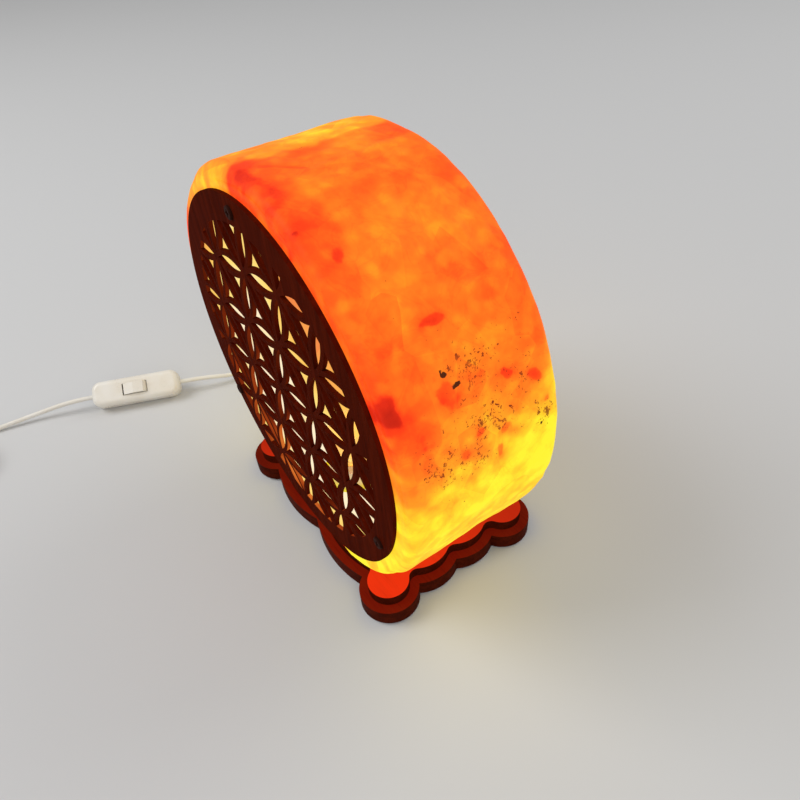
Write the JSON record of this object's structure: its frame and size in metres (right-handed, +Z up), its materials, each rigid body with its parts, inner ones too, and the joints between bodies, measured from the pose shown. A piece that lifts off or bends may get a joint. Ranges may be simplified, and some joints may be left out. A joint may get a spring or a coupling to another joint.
{
  "type": "salt crystal lamp",
  "caption": "Drum-shaped rock salt lamp with a pierced wooden front disc, scalloped wooden base, small screw-in bulb, corded rocker switch and plug.",
  "frame": {"origin": "on the floor, under the middle of the wooden base", "axes": "+Z up, -Y out of the pierced front, +X to the right seen from the front"},
  "size_m": [0.3283, 0.4093, 0.2195],
  "materials": {
    "rock_salt": "rough crystalline, lit from inside",
    "stained_wood": "dark red-brown stain, satin",
    "felt": "pressed felt",
    "zinc_steel": "zinc plated",
    "black_steel": "blackened",
    "nylon": "moulded",
    "white_plastic": "moulded, semi-gloss",
    "white_pvc": "smooth soft PVC",
    "black_plastic": "moulded",
    "holder_ceramic": "unglazed",
    "brass": "stamped",
    "cap_metal": "rolled, bright",
    "bulb_glass": "clear",
    "black_glass": "glazed",
    "hot_filament": "glowing"
  },
  "bodies": {
    "lamp": {"felt_pads": "felt", "base_lower_plate": "stained_wood", "base_upper_plate": "stained_wood", "base_screws": "zinc_steel", "base_wall_plugs": "nylon", "salt_body": "rock_salt", "front_grille": "stained_wood", "grille_screws": "black_steel", "grille_wall_plugs": "nylon", "holder_sleeve": "white_plastic", "holder_core": "holder_ceramic", "holder_screw_shell": "brass", "holder_centre_contact": "brass", "holder_lower_cap": "white_plastic", "holder_spring_clip": "zinc_steel", "clip_screws": "zinc_steel", "cord_gland": "white_plastic", "cord_in_base": "white_pvc", "cord_lamp_to_switch": "white_pvc", "switch_lower_shell": "white_plastic", "switch_upper_shell": "white_plastic", "switch_rocker_pin": "zinc_steel", "switch_screws": "zinc_steel", "switch_contacts": "brass", "cord_switch_to_coil": "white_pvc", "cord_coil": "white_pvc", "cord_coil_to_plug": "white_pvc", "plug_body": "white_pvc", "plug_pins": "cap_metal", "plug_pin_sleeves": "black_plastic", "plug_boot": "white_pvc"},
    "rocker": {"switch_rocker": "white_plastic"},
    "bulb_lift": {"bulb_contact_tip": "cap_metal"},
    "bulb": {"bulb_glass": "bulb_glass", "bulb_cap": "cap_metal", "bulb_cap_insulator": "black_glass", "bulb_stem": "bulb_glass", "bulb_lead_wires": "zinc_steel", "bulb_filament": "hot_filament"}
  },
  "joints": [
    {"name": "rocker_tilt", "type": "hinge", "parent": "lamp", "child": "rocker", "pos_m": [-0.18483, -0.09381, 0.01211], "axis": [0.7232, -0.313, -0.6157], "range_deg": [-14, 0]},
    {"name": "bulb_climb", "type": "slide", "parent": "lamp", "child": "bulb_lift", "axis": [0, 0, 1], "range_m": [0, 0.01129]},
    {"name": "bulb_turn", "type": "hinge", "parent": "bulb_lift", "child": "bulb", "pos_m": [0, -0.0175, 0.03], "axis": [0, 0, 1], "range_deg": [0, 1441]}
  ],
  "couplings": [
    {"joint": "bulb_turn", "follows": "bulb_climb", "rad_per_m": 2226.3}
  ]
}
